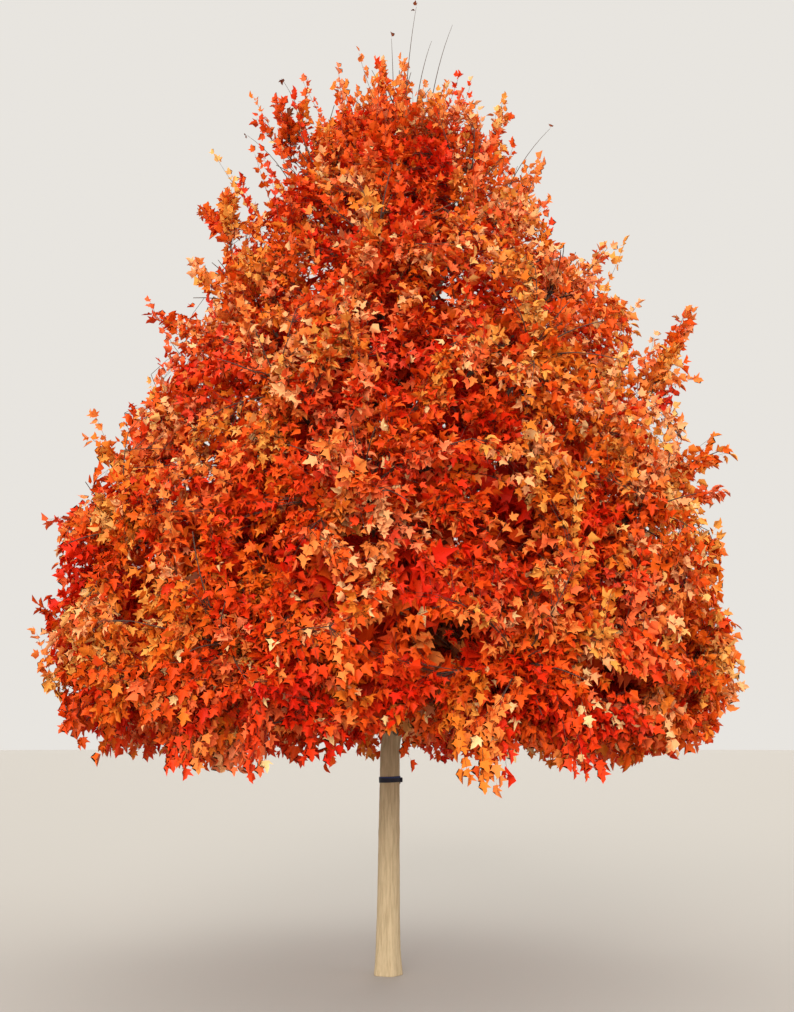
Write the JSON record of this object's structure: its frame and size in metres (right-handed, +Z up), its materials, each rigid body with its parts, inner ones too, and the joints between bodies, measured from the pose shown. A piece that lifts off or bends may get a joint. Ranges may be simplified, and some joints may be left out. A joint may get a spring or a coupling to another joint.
{
  "type": "sugar maple tree",
  "caption": "Young sugar maple in red and orange autumn leaf: straight bare trunk with a root flare, boughs that rise from its fork, and a dense egg-shaped crown.",
  "frame": {"origin": "middle of the flat cut under the trunk, on the ground", "axes": "+Z up along the trunk, +X to the tree's right as seen from its front, -Y towards that viewer"},
  "size_m": [4.8101, 4.7002, 7.05],
  "materials": {
    "bark": "rough pale bark",
    "bough_bark": "rough brown bark",
    "band": "woven strap",
    "leaf_crimson": "satin leaves",
    "leaf_scarlet": "satin leaves",
    "leaf_deep_red": "satin leaves",
    "leaf_orange": "satin leaves",
    "leaf_coral": "satin leaves"
  },
  "bodies": {
    "root": {"trunk": "bark", "tie_band": "band", "bough_1_1": "bough_bark", "bough_1_2": "bough_bark", "bough_1_3": "bough_bark", "bough_1_4": "bough_bark", "bough_1_5": "bough_bark", "bough_1_6": "bough_bark", "bough_1_7": "bough_bark", "bough_2_1": "bough_bark", "bough_2_2": "bough_bark", "bough_2_3": "bough_bark", "bough_2_4": "bough_bark", "bough_2_5": "bough_bark", "bough_2_6": "bough_bark", "bough_3_1": "bough_bark", "bough_3_2": "bough_bark", "bough_3_3": "bough_bark", "bough_3_4": "bough_bark", "bough_3_5": "bough_bark", "bough_3_6": "bough_bark", "bough_4_1": "bough_bark", "bough_4_2": "bough_bark", "bough_4_3": "bough_bark", "bough_4_4": "bough_bark", "bough_4_5": "bough_bark", "bough_5_1": "bough_bark", "bough_5_2": "bough_bark", "bough_5_3": "bough_bark", "leaf_mass_1_1": "leaf_crimson", "leaf_mass_1_2": "leaf_scarlet", "leaf_mass_1_3": "leaf_deep_red", "leaf_mass_1_4": "leaf_orange", "leaf_mass_1_5": "leaf_coral", "leaf_mass_1_6": "leaf_crimson", "leaf_mass_1_7": "leaf_scarlet", "leaf_mass_2_1": "leaf_deep_red", "leaf_mass_2_2": "leaf_orange", "leaf_mass_2_3": "leaf_coral", "leaf_mass_2_4": "leaf_crimson", "leaf_mass_2_5": "leaf_scarlet", "leaf_mass_2_6": "leaf_deep_red", "leaf_mass_3_1": "leaf_orange", "leaf_mass_3_2": "leaf_coral", "leaf_mass_3_3": "leaf_crimson", "leaf_mass_3_4": "leaf_scarlet", "leaf_mass_3_5": "leaf_deep_red", "leaf_mass_3_6": "leaf_orange", "leaf_mass_4_1": "leaf_coral", "leaf_mass_4_2": "leaf_crimson", "leaf_mass_4_3": "leaf_scarlet", "leaf_mass_4_4": "leaf_deep_red", "leaf_mass_4_5": "leaf_orange", "leaf_mass_5_1": "leaf_coral", "leaf_mass_5_2": "leaf_crimson", "leaf_mass_5_3": "leaf_scarlet", "leaf_mass_top": "leaf_deep_red"}
  },
  "joints": []
}
